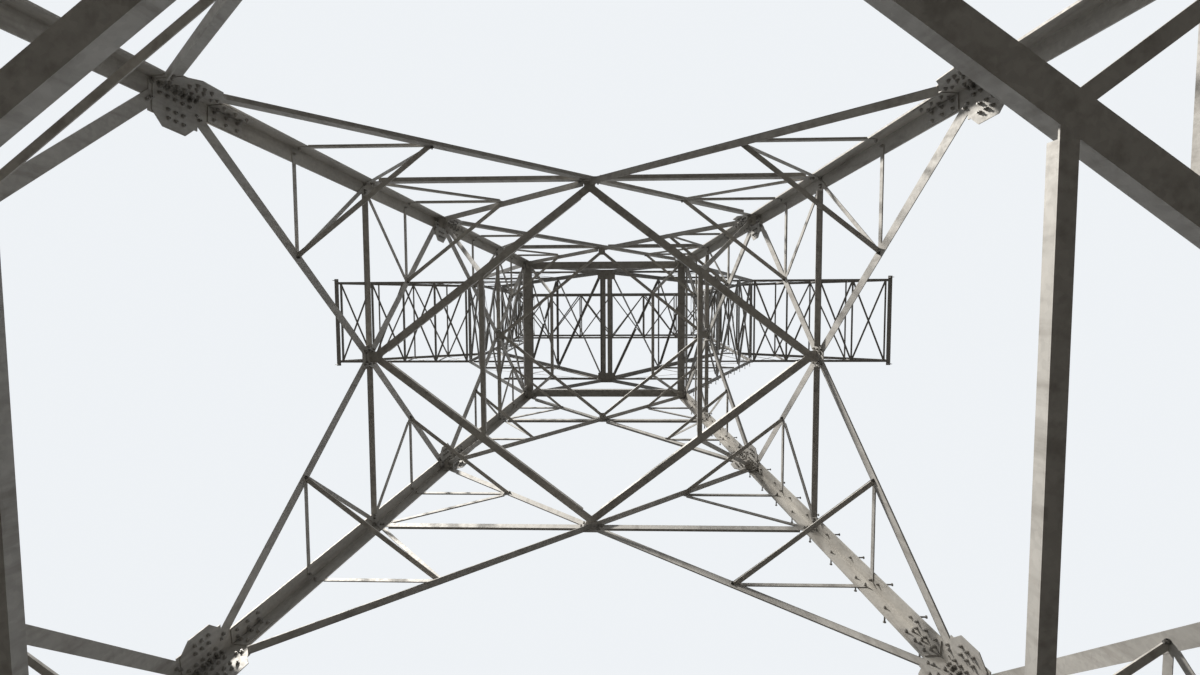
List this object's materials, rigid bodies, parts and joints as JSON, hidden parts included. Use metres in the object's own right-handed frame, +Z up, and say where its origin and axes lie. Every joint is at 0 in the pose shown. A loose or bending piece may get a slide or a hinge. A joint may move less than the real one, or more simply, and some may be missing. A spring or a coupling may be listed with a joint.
{
  "type": "lattice transmission pylon",
  "caption": "Free-standing lattice tower with a braced tapering body, a forked head around a conductor window, two side arms and earth wire peaks.",
  "frame": {"origin": "on the ground, midway between the four feet", "axes": "+Z up the tower, +X along the arms to the right, +Y along the line to the back"},
  "size_m": [22.16, 7.492, 38.785],
  "materials": {
    "leg_steel": "weathered hot-dip zinc, dull",
    "chord_steel": "weathered hot-dip zinc, dull",
    "body_bracing_steel": "weathered hot-dip zinc, brownish and dull",
    "head_bracing_steel": "weathered hot-dip zinc, lighter",
    "foot_steel": "weathered hot-dip zinc, dull",
    "hanger_steel": "hot-dip zinc"
  },
  "bodies": {
    "root": {"back_base_bracing": "body_bracing_steel", "back_left_foot": "foot_steel", "back_left_leg": "leg_steel", "back_middle_bracing": "body_bracing_steel", "back_right_foot": "foot_steel", "back_right_leg": "leg_steel", "back_upper_bracing": "body_bracing_steel", "base_plan_bracing": "body_bracing_steel", "fork_root": "head_bracing_steel", "front_base_bracing": "body_bracing_steel", "front_left_foot": "foot_steel", "front_left_leg": "leg_steel", "front_middle_bracing": "body_bracing_steel", "front_right_foot": "foot_steel", "front_right_leg": "leg_steel", "front_upper_bracing": "body_bracing_steel", "left_arm_bracing": "head_bracing_steel", "left_arm_chords": "chord_steel", "left_arm_tip": "hanger_steel", "left_base_bracing": "body_bracing_steel", "left_column_bracing": "head_bracing_steel", "left_column_chords": "chord_steel", "left_earth_wire_peak": "head_bracing_steel", "left_fork_chords": "chord_steel", "left_fork_cross_bracing": "head_bracing_steel", "left_fork_sides": "head_bracing_steel", "left_middle_bracing": "body_bracing_steel", "left_upper_bracing": "body_bracing_steel", "middle_plan_bracing": "body_bracing_steel", "right_arm_bracing": "head_bracing_steel", "right_arm_chords": "chord_steel", "right_arm_tip": "hanger_steel", "right_base_bracing": "body_bracing_steel", "right_column_bracing": "head_bracing_steel", "right_column_chords": "chord_steel", "right_earth_wire_peak": "head_bracing_steel", "right_fork_chords": "chord_steel", "right_fork_cross_bracing": "head_bracing_steel", "right_fork_sides": "head_bracing_steel", "right_middle_bracing": "body_bracing_steel", "right_upper_bracing": "body_bracing_steel", "top_beam_bracing": "head_bracing_steel", "top_beam_chords": "chord_steel", "upper_plan_bracing": "body_bracing_steel", "waist_frame": "chord_steel"}
  },
  "joints": []
}
